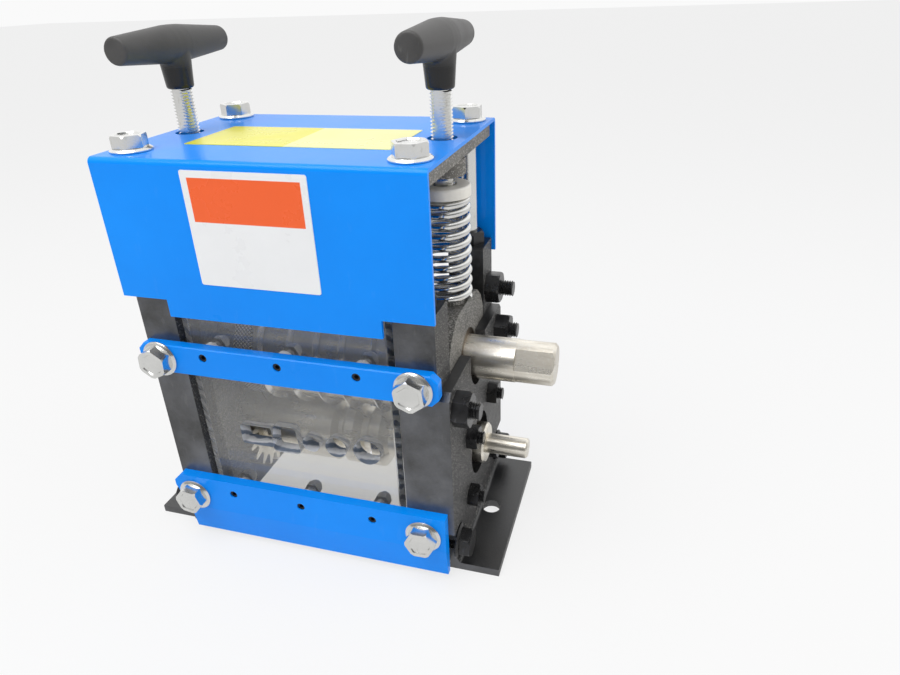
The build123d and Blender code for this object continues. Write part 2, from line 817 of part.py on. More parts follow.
# ---- build ---------------------------------------------------------------------------------
def main():
    os.makedirs("parts", exist_ok=True)
    for side, name in ((-1, "left"), (1, "right")):
        write(name + "_side_frame", side_frame(side))
        write(name + "_foot_angle", foot_angle(side))
        write(name + "_upper_bearing_block", upper_block(side))
        write(name + "_lower_bearing_block", lower_block(side))
        write(name + "_spring", spring(side))
        write(name + "_spring_seat", spring_seat(side))
        write(name + "_adjusting_screw", adjusting_screw(side))
        write(name + "_t_handle", t_handle(side))
    write("right_side_plate", side_plate())
    write("foot_bolts", foot_bolts())
    write("side_plate_nuts", plate_bolt_set())
    write("top_plate", top_plate())
    write("top_cover", top_cover())
    write("top_bolts", top_bolts())
    write("post_nuts", post_nuts())
    write("middle_front_bar", middle_front_bar())
    write("lower_front_bar", lower_front_bar())
    write("bar_bolts", bar_bolts())
    write("guide_window", guide_window())
    write("window_screws", window_screws())
    write("window_spacers", window_spacers())
    write("window_cap_nuts", window_cap_nuts())
    write("rear_panel", rear_panel())
    write("rear_panel_bolts", rear_panel_bolts())
    write("upper_bushes", bushes(upper_z, frame_outer - 0.3))
    write("lower_bushes", bushes(lower_z, lower_block_face))
    write("stop_screws", stop_screws())
    write("lower_bearing_nuts", lower_bearing_bolts())
    write("upper_shaft", upper_shaft())
    write("lower_shaft", lower_shaft())
    write("blade_discs", blade_discs())
    write("blade_spacers", blade_spacers())
    write("knurled_drum", knurled_drum())
    write("grooved_roller", grooved_roller())
    write("upper_gear", gear(upper_z, -math.pi / 2))
    write("lower_gear", gear(lower_z, math.pi / 2 + math.pi / gear_n))
    write("upper_shaft_collar", collar(upper_z))
    write("lower_shaft_collar", collar(lower_z))


main()
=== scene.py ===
"""Looks for the hand crank wire stripper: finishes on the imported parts, and the springs, threads,
fasteners, handles and plates that need more shape than the solids carry."""

import math

import bmesh
import bpy
from bpy.props import FloatProperty, FloatVectorProperty, IntProperty, PointerProperty
from mathutils import Matrix, Vector


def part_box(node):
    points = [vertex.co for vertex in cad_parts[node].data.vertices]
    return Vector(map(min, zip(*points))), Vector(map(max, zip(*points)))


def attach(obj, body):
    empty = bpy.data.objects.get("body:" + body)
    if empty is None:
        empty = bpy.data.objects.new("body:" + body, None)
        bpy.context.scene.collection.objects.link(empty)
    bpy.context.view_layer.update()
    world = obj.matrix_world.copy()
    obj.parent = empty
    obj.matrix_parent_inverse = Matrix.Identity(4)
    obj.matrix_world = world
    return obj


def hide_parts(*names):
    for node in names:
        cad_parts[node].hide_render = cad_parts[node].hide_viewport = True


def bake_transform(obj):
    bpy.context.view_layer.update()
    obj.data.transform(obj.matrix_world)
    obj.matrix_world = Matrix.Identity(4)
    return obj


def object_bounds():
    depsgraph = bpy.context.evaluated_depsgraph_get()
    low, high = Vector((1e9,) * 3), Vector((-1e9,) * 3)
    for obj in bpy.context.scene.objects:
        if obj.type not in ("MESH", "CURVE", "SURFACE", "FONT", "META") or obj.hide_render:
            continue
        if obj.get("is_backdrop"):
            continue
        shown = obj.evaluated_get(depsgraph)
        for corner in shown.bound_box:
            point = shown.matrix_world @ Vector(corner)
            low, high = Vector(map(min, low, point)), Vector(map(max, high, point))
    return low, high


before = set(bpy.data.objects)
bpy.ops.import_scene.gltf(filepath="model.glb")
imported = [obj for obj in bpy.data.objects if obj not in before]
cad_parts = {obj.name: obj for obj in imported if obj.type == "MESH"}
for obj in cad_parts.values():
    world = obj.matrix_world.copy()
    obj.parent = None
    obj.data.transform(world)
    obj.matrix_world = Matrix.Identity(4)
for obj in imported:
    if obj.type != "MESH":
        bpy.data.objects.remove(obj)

bl_info = {
    "name": "Wire Stripper Looks",
    "version": (1, 0, 0),
    "blender": (4, 5, 0),
    "location": "View3D > Sidebar > Stripper",
    "description": "Finishes and fine pieces of a bench wire stripper",
    "category": "Object",
}

MM = 0.001
TURN = 2 * math.pi
QUARTER = TURN / 4
FLIP = Matrix.Rotation(TURN / 2, 4, "X")
AXES = {"+x": Matrix.Rotation(QUARTER, 4, "Y"), "-x": Matrix.Rotation(-QUARTER, 4, "Y"),
        "+y": Matrix.Rotation(-QUARTER, 4, "X"), "-y": Matrix.Rotation(QUARTER, 4, "X"),
        "+z": Matrix.Identity(4)}
FLECK_EDGE = 0.035
LATHE_MARKS = 1500.0
GLINT_FROM = (-0.15, 0.65, 0.75)
HARDWARE_SHARP = 22
SOFT_SHARP = 40
ROUND_STEPS = 56
BOLT_THREAD_STEPS = 16


# ---- sizes and colours that a user would change ------------------------------------------------
def length(name, text, mm):
    return FloatProperty(name=name, description=text, default=mm * MM, unit="LENGTH", subtype="DISTANCE",
                         precision=4)


def colour(name, text, rgb):
    return FloatVectorProperty(name=name, description=text, default=rgb, subtype="COLOR", size=3, min=0,
                               max=1)


def view_angle(name, text, radians):
    return FloatProperty(name=name, description=text, default=radians, subtype="ANGLE")


def power(name, text, watts):
    return FloatProperty(name=name, description=text, default=watts, unit="POWER")


def number(name, text, value):
    return FloatProperty(name=name, description=text, default=value)


def spot(name, text, first, second):
    return FloatVectorProperty(name=name, description=text, size=2, default=(first * MM, second * MM),
                               unit="LENGTH")


class StageSizes(bpy.types.PropertyGroup):
    eye: FloatVectorProperty(name="Camera place", description="Where the photograph was taken from",
                             unit="LENGTH", default=(0.185045, -0.346731, 0.317616), subtype="TRANSLATION")
    yaw: view_angle("Yaw", "Turn of the view about the vertical", -0.3035823)
    pitch: view_angle("Pitch", "How far the view looks down", 0.4765438)
    roll: view_angle("Roll", "Tilt of the picture", -0.0390362)
    lens: number("Lens", "Focal length on a 36 mm sensor, in mm", 27.343)
    floor_half: length("Floor", "Half the width of the floor", 9000)
    floor_glow: number("Floor glow", "How bright the floor is to the camera where nothing shades it", 0.95)
    floor_share: number("Floor share", "How much of that glow lies over the lit and shaded floor", 0.8)
    backdrop: number("Backdrop", "How bright the background is to the camera", 0.955)
    floor_gloss: number("Floor in reflections", "How bright the floor is in metal and gloss", 0.75)
    floor_tint: colour("Floor colour", "Pale floor and background", (0.88, 0.88, 0.88))
    key_power: power("Key light", "Power of the large light above the front", 9.0)
    side_power: power("Side light", "Power of the light on the drive side", 2.2)
    sky: number("Sky", "Strength of the even white light on the object", 0.60)


class FinishColours(bpy.types.PropertyGroup):
    blue: colour("Blue paint", "Sheet metal colour", (0.0, 0.27, 0.98))
    black: colour("Black paint", "Frame colour", (0.014, 0.0145, 0.016))
    fleck: colour("Flecks", "Bright specks in the textured black paint", (0.36, 0.345, 0.32))
    zinc: colour("Zinc", "Plated bolts and springs", (0.86, 0.86, 0.84))
    steel: colour("Steel", "Turned shafts and rollers", (0.90, 0.86, 0.77))
    steel_dark: colour("Steel stain", "Darker streaks on the shafts", (0.50, 0.45, 0.37))
    grip: colour("Grip", "Moulded handles", (0.042, 0.041, 0.040))
    # the window colour also sets the pale veil of the plate, a painted reflection
    acrylic: colour("Window", "Clear guide plate", (0.84, 0.83, 0.80))


class SpringSizes(bpy.types.PropertyGroup):
    wire: length("Wire", "Radius of the spring wire", 2.0)
    coil: length("Coil", "Radius of the coil's middle line", 12.2)
    end_pitch: length("End pitch", "Rise of each closed end turn", 4.55)
    turns: IntProperty(name="Open turns", description="Turns between the two closed ends", default=8, min=2)
    steps: IntProperty(name="Steps a turn", description="Segments along each turn", default=40, min=12)


class ThreadSizes(bpy.types.PropertyGroup):
    screw: length("Adjusting screw", "Outer radius of the long screws", 6.0)
    screw_pitch: length("Screw pitch", "Rise of the long screws' thread", 1.75)
    screw_flat: length("Screw flat", "Distance of the milled flat from the screw's middle", 4.7)
    boss: length("Boss", "Radius of the threaded boss under the top plate", 12.0)
    boss_height: length("Boss height", "How far the boss reaches below the plate", 9.0)
    bolt: length("Bolt", "Outer radius of the frame bolts", 5.0)
    bolt_pitch: length("Bolt pitch", "Rise of the frame bolts' thread", 1.5)
    bolt_cut: length("Bolt cut", "Length of thread on the frame bolts", 16.0)
    hexagon: length("Bolt head", "Width across the flats", 16.0)
    head: length("Head height", "Height of the hexagon", 6.5)
    washer: length("Washer", "Radius of the washer face", 10.8)
    washer_depth: length("Washer depth", "Thickness of the washer face", 2.0)
    dish: length("Dish", "Depth of the hollow in the top of each head", 0.6)
    side_nut: length("Side nut", "Width across the flats of the nuts on the side plate", 18.0)
    side_nut_height: length("Side nut height", "Height of those nuts", 9.0)
    side_tail: length("Side tail", "How far the upper rear stud stands out of the side frame", 17.0)
    stud: length("Stud", "Outer radius of the studs round the lower shaft", 4.0)
    stud_pitch: length("Stud pitch", "Rise of those studs' thread", 1.25)
    stud_nut: length("Stud nut", "Width across the flats of their nuts", 13.0)
    stud_nut_height: length("Stud nut height", "Height of their nuts", 6.5)
    stud_tail: length("Stud tail", "How far those studs stand out of the side plate", 9.5)


class GripSizes(bpy.types.PropertyGroup):
    middle: length("Middle", "Radius of the grip at its middle", 9.8)
    tip: length("Tip", "Radius of the grip near its ends", 6.6)
    end_round: length("End round", "Rounding of the grip's ends", 1.3)
    stem_top: length("Stem top", "Radius of the stem below the grip", 9.0)
    stem_foot: length("Stem foot", "Radius of the stem's lower end", 7.5)
    voxel: length("Blend size", "Grid used to blend stem and grip", 0.55)


class PlateSizes(bpy.types.PropertyGroup):
    thick: length("Film", "Thickness of the stuck-on film", 0.25)
    corner: length("Corner", "Corner radius of the plates", 1.2)
    front_low: spot("Front low", "Lower left corner of the front plate, along and up", -37.0, 182.6)
    front_high: spot("Front high", "Upper right corner of the front plate, along and up", 31.5, 242.6)
    front_edge: length("Front edge", "Width of the bare edge round the band of the front plate", 3.5)
    front_band: length("Front band", "How far the band reaches down from the top of the front plate", 26.0)
    top_low: spot("Top low", "Front left corner of the top plate, along and back", -58.0, -32.0)
    top_high: spot("Top high", "Rear right corner of the top plate, along and back", 60.0, 18.0)
    white: colour("Plate white", "Ground of the front plate", (0.86, 0.87, 0.88))
    orange: colour("Plate orange", "Band on the front plate", (0.90, 0.115, 0.012))
    yellow: colour("Plate yellow", "Left half of the top plate", (0.80, 0.76, 0.0))
    # painted sheen: the paler yellow of the right half stands in for light washing the film out
    yellow_sheen: colour("Plate pale yellow", "Right half of the top plate", (0.84, 0.82, 0.30))


GROUPS = {"stage": StageSizes, "finish": FinishColours, "spring": SpringSizes,
          "thread": ThreadSizes, "grip": GripSizes, "plate": PlateSizes}


class StripperSettings(bpy.types.PropertyGroup):
    stage: PointerProperty(type=StageSizes, name="Stage")
    finish: PointerProperty(type=FinishColours, name="Finishes")
    spring: PointerProperty(type=SpringSizes, name="Springs")
    thread: PointerProperty(type=ThreadSizes, name="Threads")
    grip: PointerProperty(type=GripSizes, name="Grips")
    plate: PointerProperty(type=PlateSizes, name="Plates")


def settings(context):
    return context.scene.stripper


# ---- mesh helpers -----------------------------------------------------------------------------
def chain(bm, points):
    """A string of edges through a few points: the outline that a spin turns into a shape."""
    verts = [bm.verts.new(p) for p in points]
    return verts + [bm.edges.new(pair) for pair in zip(verts, verts[1:])]


def clean(bm, merge=1e-6):
    bmesh.ops.remove_doubles(bm, verts=bm.verts, dist=merge)
    bmesh.ops.recalc_face_normals(bm, faces=bm.faces)


def lathe(outline, segments=48):
    """A closed turned shape about Z from (radius, height) points."""
    bm = bmesh.new()
    geom = chain(bm, [(r, 0, z) for r, z in outline])
    bmesh.ops.spin(bm, geom=geom, cent=(0, 0, 0), axis=(0, 0, 1), angle=TURN, steps=segments, use_merge=True)
    clean(bm)
    return bm


def cut(bm, place, normal):
    """Takes away what lies beyond a plane and closes the cut."""
    found = bmesh.ops.bisect_plane(bm, geom=bm.verts[:] + bm.edges[:] + bm.faces[:], plane_co=place,
                                   plane_no=normal, clear_outer=True, dist=1e-7)
    edges = [e for e in found["geom_cut"] if isinstance(e, bmesh.types.BMEdge)]
    if edges:
        bmesh.ops.contextual_create(bm, geom=edges)


def screw_thread(radius, pitch, height, steps=20):
    """A screw along Z from 0 to height: one V of the thread, spun upwards, with cut ends."""
    deep = pitch * 0.5
    bm = bmesh.new()
    root = radius - deep
    geom = chain(bm, [(root, 0, -pitch), (root, 0, -pitch * 0.88), (radius, 0, -pitch * 0.56),
                      (radius, 0, -pitch * 0.44), (root, 0, -pitch * 0.12), (root, 0, 0)])
    turns = math.ceil(height / pitch) + 2
    bmesh.ops.spin(bm, geom=geom, cent=(0, 0, 0), axis=(0, 0, 1), dvec=(0, 0, pitch / steps),
                   angle=TURN * turns, steps=steps * turns)
    clean(bm, pitch * 0.02)
    cut(bm, (0, 0, 0), (0, 0, -1))
    cut(bm, (0, 0, height), (0, 0, 1))
    bmesh.ops.recalc_face_normals(bm, faces=bm.faces)
    return bm


def hexagon_prism(across, height, turned=0.0, dish=0.0):
    """A hexagonal head along Z from 0: corners turned down, edges eased, top dished if asked."""
    bm = bmesh.new()
    radius = across / math.sqrt(3)
    bmesh.ops.create_cone(bm, cap_ends=True, segments=6, radius1=radius, radius2=radius, depth=height)
    top = [v for v in bm.verts if v.co.z > 0]
    bmesh.ops.bevel(bm, geom=top, offset=height * 0.2, offset_type="OFFSET", segments=1, profile=0.5,
                    affect="VERTICES", material=-1)
    upright = [e for e in bm.edges if abs((e.verts[0].co - e.verts[1].co).normalized().z) > 0.99]
    bmesh.ops.bevel(bm, geom=upright, offset=across * 0.02, offset_type="OFFSET", segments=2, profile=0.5,
                    affect="EDGES", material=-1)
    if dish:
        bm.normal_update()
        flat = max(bm.faces, key=lambda f: f.calc_center_median().z)
        bmesh.ops.inset_region(bm, faces=[flat], thickness=across * 0.13)
        bmesh.ops.inset_region(bm, faces=[flat], thickness=dish, depth=-dish)
    bmesh.ops.translate(bm, verts=bm.verts, vec=(0, 0, height / 2))
    bmesh.ops.rotate(bm, verts=bm.verts, cent=(0, 0, 0), matrix=Matrix.Rotation(turned, 3, "Z"))
    return bm


def add(bm, part, matrix):
    """Puts a finished bmesh into another at a place, and frees it."""
    mesh = bpy.data.meshes.new("part")
    part.transform(matrix)
    part.to_mesh(mesh)
    part.free()
    bm.from_mesh(mesh)
    bpy.data.meshes.remove(mesh)


def flange_head(bm, t, where, segments, turned, dish=0.0):
    """A hexagonal head on its round flange, standing up from a place."""
    r, d = t.washer, t.washer_depth
    flange = [(0, 0), (r - 0.3 * MM, 0), (r, 0.3 * MM), (r, 0.9 * MM), (r - 0.4 * MM, 1.3 * MM),
              (r - 1.4 * MM, d), (0, d)]
    add(bm, lathe(flange, segments), where)
    add(bm, hexagon_prism(t.hexagon, t.head, turned, dish), where @ Matrix.Translation((0, 0, d)))


def piece(name, bm, material, body, replaced=(), sharp=35):
    """Makes the bmesh an object with smooth faces and sharp edges, riding on its body."""
    mesh = bpy.data.meshes.new(name)
    for face in bm.faces:
        face.smooth = True
    for edge in bm.edges:
        edge.smooth = edge.calc_face_angle(0) < math.radians(sharp)
    bm.to_mesh(mesh)
    bm.free()
    obj = bpy.data.objects.new(name, mesh)
    bpy.context.scene.collection.objects.link(obj)
    mesh.materials.append(material)
    if body:
        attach(obj, body)
    if replaced:
        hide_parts(*replaced)
    return obj


# ---- node groups shared by the finishes ---------------------------------------------------------
def new_group(name, inputs, outputs):
    """A node group whose sockets are all plain numbers."""
    tree = bpy.data.node_groups.new(name, "ShaderNodeTree")
    for label, value in inputs.items():
        socket = tree.interface.new_socket(label, in_out="INPUT", socket_type="NodeSocketFloat")
        socket.default_value = value
    for label in outputs:
        tree.interface.new_socket(label, in_out="OUTPUT", socket_type="NodeSocketFloat")
    return tree, tree.nodes.new("NodeGroupInput"), tree.nodes.new("NodeGroupOutput")


def node(tree, kind, inputs=None, **values):
    """Adds a node, sets its properties, and sets or links its inputs."""
    made = tree.nodes.new("ShaderNode" + kind)
    for key, value in values.items():
        setattr(made, key, value)
    for key, value in (inputs or {}).items():
        if isinstance(value, bpy.types.NodeSocket):
            tree.links.new(value, made.inputs[key])
        else:
            made.inputs[key].default_value = value
    return made


def calc(tree, operation, *values):
    """The output of a math node on one or two numbers or sockets."""
    return node(tree, "Math", dict(enumerate(values)), operation=operation).outputs[0]


def noise(tree, place, scale, detail, roughness=0.5):
    made = node(tree, "TexNoise", {"Vector": place, "Scale": scale, "Detail": detail,
                                   "Roughness": roughness})
    return made.outputs["Fac"]


def ramp(tree, value, low, high, out_low=0.0, out_high=1.0):
    made = node(tree, "MapRange", {"Value": value, "From Min": low, "From Max": high,
                                   "To Min": out_low, "To Max": out_high})
    return made.outputs["Result"]


def object_place(tree):
    """Where a point lies on its object, in metres."""
    return node(tree, "TexCoord").outputs["Object"]


def grain_group():
    """Even grain: a height for bump, and a mask of scattered flecks."""
    tree, start, end = new_group("Grain", {"Scale": 600.0, "Flecks": 0.7}, ("Height", "Fleck"))
    place = object_place(tree)
    scale = start.outputs["Scale"]
    flecks = start.outputs["Flecks"]
    speck = noise(tree, place, scale, 1.0, 0.4)
    mask = ramp(tree, speck, flecks, calc(tree, "ADD", flecks, FLECK_EDGE))
    tree.links.new(noise(tree, place, scale, 4.0, 0.65), end.inputs["Height"])
    tree.links.new(mask, end.inputs["Fleck"])


def wear_group():
    """Soft clouds and fine scratches, for uneven gloss and handling marks."""
    tree, start, end = new_group("Wear", {"Cloud Scale": 22.0, "Scratch Scale": 260.0}, ("Cloud", "Scratch"))
    place = object_place(tree)
    cloud = noise(tree, place, start.outputs["Cloud Scale"], 5.0, 0.6)
    bent = node(tree, "Mapping", {"Vector": place, "Rotation": (0.5, 0.35, 0.8), "Scale": (1.0, 0.05, 0.3)})
    line = noise(tree, bent.outputs["Vector"], start.outputs["Scratch Scale"], 2.0)
    tree.links.new(cloud, end.inputs["Cloud"])
    tree.links.new(ramp(tree, line, 0.66, 0.70), end.inputs["Scratch"])


def turned_group():
    """Lathe marks round an X axis and streaks along it, centred at a height."""
    tree, start, end = new_group("Turned", {"Height Of Axis": 0.0, "Marks": 900.0},
                                 ("Rings", "Streaks", "Angle", "Along"))
    place = node(tree, "SeparateXYZ", {0: object_place(tree)}).outputs
    up = calc(tree, "SUBTRACT", place["Z"], start.outputs["Height Of Axis"])
    angle = calc(tree, "ARCTAN2", place["Y"], up)
    ring_at = node(tree, "CombineXYZ", {"X": place["X"]}).outputs[0]
    rings = noise(tree, ring_at, start.outputs["Marks"], 3.0, 0.7)
    around = node(tree, "CombineXYZ", {"X": calc(tree, "MULTIPLY", place["X"], 14.0),
                                       "Y": calc(tree, "COSINE", angle),
                                       "Z": calc(tree, "SINE", angle)}).outputs[0]
    streaks = noise(tree, around, 3.2, 6.0, 0.62)
    for label, value in (("Rings", rings), ("Streaks", streaks), ("Angle", angle), ("Along", place["X"])):
        tree.links.new(value, end.inputs[label])


def group_node(tree, name, **inputs):
    """Adds a shared group with its inputs set, and gives its outputs."""
    made = tree.nodes.new("ShaderNodeGroup")
    made.node_tree = bpy.data.node_groups[name]
    for key, value in inputs.items():
        made.inputs[key.replace("_", " ")].default_value = value
    return made.outputs


def mix_colour(tree, mask, first, second):
    made = node(tree, "Mix", {"Factor": mask}, data_type="RGBA")
    for index, value in ((6, first), (7, second)):
        if isinstance(value, bpy.types.NodeSocket):
            tree.links.new(value, made.inputs[index])
        else:
            made.inputs[index].default_value = (*value, 1.0)
    return made.outputs[2]


def bump(tree, bsdf, height, distance, strength=1.0, under=None):
    made = node(tree, "Bump", {"Height": height, "Strength": strength, "Distance": distance})
    if under:
        tree.links.new(under.outputs["Normal"], made.inputs["Normal"])
    tree.links.new(made.outputs["Normal"], bsdf.inputs["Normal"])
    return made


def dim(rgb, share):
    return tuple(min(1.0, c * share) for c in rgb)


# ---- finishes -----------------------------------------------------------------------------------
def material(name, **shader):
    """A material with only its Principled shader, constants set on the shader's own sockets."""
    made = bpy.data.materials.new(name)
    made.use_nodes = True
    tree = made.node_tree
    bsdf = tree.nodes["Principled BSDF"]
    for key, value in shader.items():
        key = key.replace("_", " ")
        bsdf.inputs[key].default_value = (*value, 1.0) if key == "Base Color" else value
    return made, tree, bsdf


def worn_material(name, wear, grain=None, **shader):
    """A material with wear (cloud and scratch scale), and grain (scale and flecks) where it is given."""
    made, tree, bsdf = material(name, **shader)
    if grain:
        grain = group_node(tree, "Grain", Scale=grain[0], Flecks=grain[1])
    return made, tree, bsdf, group_node(tree, "Wear", Cloud_Scale=wear[0], Scratch_Scale=wear[1]), grain


def clouded(tree, wear, first, second, low=0.3, high=0.7):
    """Two colours mixed by the clouds of the wear."""
    return mix_colour(tree, ramp(tree, wear["Cloud"], low, high), first, second)


def scratched(tree, wear, ground, tint, share):
    """A colour with fine scratches of another over it."""
    return mix_colour(tree, ramp(tree, wear["Scratch"], 0, 1, 0, share), ground, tint)


def uneven(tree, wear, low, high, top=0.7):
    """A roughness that follows the clouds of the wear."""
    return ramp(tree, wear["Cloud"], 0.3, top, low, high)


def surface(tree, bsdf, tone, rough):
    tree.links.new(tone, bsdf.inputs["Base Color"])
    tree.links.new(rough, bsdf.inputs["Roughness"])


def blue_paint(c):
    """Glossy paint of the sheet metal, with a slight orange peel."""
    made, tree, bsdf, wear, grain = worn_material(
        "blue_paint", (9.0, 180.0), (900.0, 0.74),
        Coat_Weight=0.25, Coat_Roughness=0.05, Roughness=0.34, Specular_IOR_Level=0.10)
    body = clouded(tree, wear, dim(c.blue, 0.93), dim(c.blue, 1.06), 0.35)
    dusty = scratched(tree, wear, body, (0.25, 0.48, 0.85), 0.02)
    surface(tree, bsdf, dusty, uneven(tree, wear, 0.26, 0.40, 0.75))
    peel = bump(tree, bsdf, noise(tree, object_place(tree), 420.0, 1.5), 0.00006, 0.35)
    bump(tree, bsdf, grain["Height"], 0.00002, 0.2, peel)
    return made


def black_paint(c):
    """Textured paint: rough and flecked on the sides, smoother on the fronts, where a painted sheen makes
    the front faces much lighter.
    """
    made, tree, bsdf, wear, grain = worn_material(
        "black_paint", (30.0, 200.0), (1150.0, 0.61), Specular_IOR_Level=0.95)
    way = node(tree, "SeparateXYZ", {0: node(tree, "TexCoord").outputs["Normal"]}).outputs
    sides = ramp(tree, calc(tree, "ABSOLUTE", way["X"]), 0.4, 0.8)
    fronts = ramp(tree, calc(tree, "ABSOLUTE", way["Y"]), 0.6, 0.9)
    flecks = calc(tree, "MULTIPLY", grain["Fleck"], ramp(tree, sides, 0, 1, 0.03, 0.75))
    # painted sheen: faces that look along Y are painted up to 7.5 times lighter than the black, standing in
    # for reflected light
    front_sheen = mix_colour(tree, fronts, dim(c.black, 1.3), dim(c.black, 7.5))
    ground = clouded(tree, wear, dim(c.black, 0.8), front_sheen, 0.35)
    rubbed = scratched(tree, wear, ground, (0.2, 0.2, 0.2), 0.12)
    surface(tree, bsdf, mix_colour(tree, flecks, rubbed, c.fleck), ramp(tree, sides, 0, 1, 0.30, 0.46))
    height = calc(tree, "MULTIPLY", grain["Height"], ramp(tree, sides, 0, 1, 0.10, 1.0))
    bump(tree, bsdf, height, 0.0011, 0.8)
    return made


def cast_grey(c):
    """Rough grey iron of the bearing blocks."""
    made, tree, bsdf, wear, grain = worn_material(
        "cast_grey", (40.0, 180.0), (1250.0, 0.53), Specular_IOR_Level=0.6)
    ground = clouded(tree, wear, (0.055, 0.054, 0.050), (0.15, 0.145, 0.13))
    surface(tree, bsdf, mix_colour(tree, grain["Fleck"], ground, c.fleck), uneven(tree, wear, 0.34, 0.52))
    bump(tree, bsdf, grain["Height"], 0.0007, 0.8)
    return made


def zinc(c, name, rough):
    """Bright plating, with a warmer tone in its scratches."""
    made, tree, bsdf, wear, grain = worn_material(name, (70.0, 500.0), (700.0, 0.68), Metallic=1.0)
    tone = clouded(tree, wear, dim(c.zinc, 0.84), c.zinc)
    surface(tree, bsdf, scratched(tree, wear, tone, (0.62, 0.60, 0.55), 0.35), uneven(tree, wear, *rough))
    bump(tree, bsdf, grain["Height"], 0.00003, 0.5)
    return made


def plated_matte(name, ground, metallic, rough):
    """Dull plating, pale enough to read as bright in the shade behind the window."""
    made, tree, bsdf, wear, grain = worn_material(
        name, (80.0, 420.0), (900.0, 0.66), Metallic=metallic, Roughness=rough)
    tone = clouded(tree, wear, dim(ground, 0.80), ground)
    surface(tree, bsdf, tone, uneven(tree, wear, rough - 0.08, rough + 0.08))
    bump(tree, bsdf, grain["Height"], 0.00006, 0.6)
    return made


def raw_plate():
    """Sawn grey steel of the thick plate under the cover."""
    made, tree, bsdf, wear, grain = worn_material(
        "raw_plate", (55.0, 160.0), (1000.0, 0.58), Metallic=0.25, Specular_IOR_Level=0.5)
    tone = clouded(tree, wear, (0.10, 0.095, 0.085), (0.21, 0.20, 0.18))
    tone = mix_colour(tree, grain["Fleck"], tone, (0.40, 0.38, 0.35))
    surface(tree, bsdf, tone, uneven(tree, wear, 0.42, 0.6))
    bump(tree, bsdf, grain["Height"], 0.0006, 0.7)
    return made


def black_oxide():
    """Blackened steel of the nuts and the foot bolts."""
    made, tree, bsdf, wear, grain = worn_material(
        "black_oxide", (90.0, 420.0), (800.0, 0.66), Metallic=0.35, Specular_IOR_Level=0.7)
    tone = clouded(tree, wear, (0.010, 0.010, 0.011), (0.030, 0.030, 0.032), 0.35)
    surface(tree, bsdf, scratched(tree, wear, tone, (0.16, 0.16, 0.17), 0.3), uneven(tree, wear, 0.22, 0.36))
    bump(tree, bsdf, grain["Height"], 0.00005, 0.5)
    return made


def bronze():
    """Oiled bronze of the bushes."""
    made, tree, bsdf, wear, _ = worn_material("bearing_bronze", (60.0, 400.0), Metallic=1.0)
    tone = clouded(tree, wear, (0.055, 0.038, 0.020), (0.14, 0.095, 0.05))
    surface(tree, bsdf, tone, uneven(tree, wear, 0.28, 0.45))
    return made


def turned_steel(c, name, axis_z, bright, stain=0.6, rough=(0.22, 0.40)):
    """Lathe-turned steel with stains and streaks, for what turns about a shaft at that height."""
    made, tree, bsdf = material(name, Metallic=1.0)
    turned = group_node(tree, "Turned", Height_Of_Axis=axis_z, Marks=LATHE_MARKS)
    grain = group_node(tree, "Grain", Scale=650.0, Flecks=0.62)
    stains = ramp(tree, turned["Streaks"], 0.36, 0.66, 0.0, stain)
    tone = mix_colour(tree, stains, dim(c.steel, bright), dim(c.steel_dark, bright))
    worn = mix_colour(tree, ramp(tree, grain["Fleck"], 0, 1, 0, 0.25), tone, dim(c.steel, 1.25))
    surface(tree, bsdf, worn, ramp(tree, turned["Streaks"], 0.3, 0.7, *rough))
    bump(tree, bsdf, turned["Rings"], 0.00005, 0.6)
    return made


def knurled_steel(c, name, axis_z, radius, pitch):
    """Turned steel with two crossed sets of knurl cuts, worked out from the angle round the shaft, their
    valleys painted dark as shade and their peaks painted light as highlight.
    """
    made = turned_steel(c, name, axis_z, 0.8, 0.7)
    tree = made.node_tree
    bsdf = tree.nodes["Principled BSDF"]
    turned = group_node(tree, "Turned", Height_Of_Axis=axis_z, Marks=LATHE_MARKS)
    arc = calc(tree, "MULTIPLY", turned["Angle"], radius)
    waves = []
    for way in ("ADD", "SUBTRACT"):
        phase = calc(tree, "MULTIPLY", calc(tree, way, arc, turned["Along"]), TURN / pitch)
        waves.append(calc(tree, "SINE", phase))
    peak = calc(tree, "MINIMUM", *waves)
    bump(tree, bsdf, peak, pitch * 0.25)
    # painted shade and highlight: the knurl valleys are painted dark and the peaks light, beyond what the
    # bump gives
    tone = mix_colour(tree, ramp(tree, peak, -0.9, 0.3), dim(c.steel_dark, 0.35), dim(c.steel, 1.3))
    tree.links.new(tone, bsdf.inputs["Base Color"])
    return made


def moulded_grip(c, stem_top):
    """Moulded plastic: dusty and dull on the arms, which are painted lighter as lit from above, and glossier
    on the stem below, which is painted darker as shade under the grip.
    """
    made, tree, bsdf, wear, grain = worn_material(
        "moulded_grip", (45.0, 240.0), (1100.0, 0.70), Specular_IOR_Level=0.45)
    tone = clouded(tree, wear, dim(c.grip, 1.1), dim(c.grip, 1.9), high=0.75)
    dusty = scratched(tree, wear, tone, (0.35, 0.35, 0.33), 0.10)
    up = node(tree, "SeparateXYZ", {0: object_place(tree)}).outputs["Z"]
    arm = ramp(tree, up, stem_top - 3 * MM, stem_top + 2 * MM)
    dull = uneven(tree, wear, 0.40, 0.56, 0.75)
    rough = node(tree, "Mix", {"Factor": arm, "A": 0.22, "B": dull}).outputs["Result"]
    # painted shade: the stem below the grip gets a third of the grip colour, while the arms keep the lighter
    # lit tone with their dusty scratches
    surface(tree, bsdf, mix_colour(tree, arm, dim(c.grip, 0.35), dusty), rough)
    bump(tree, bsdf, grain["Height"], 0.00008, 0.7)
    return made


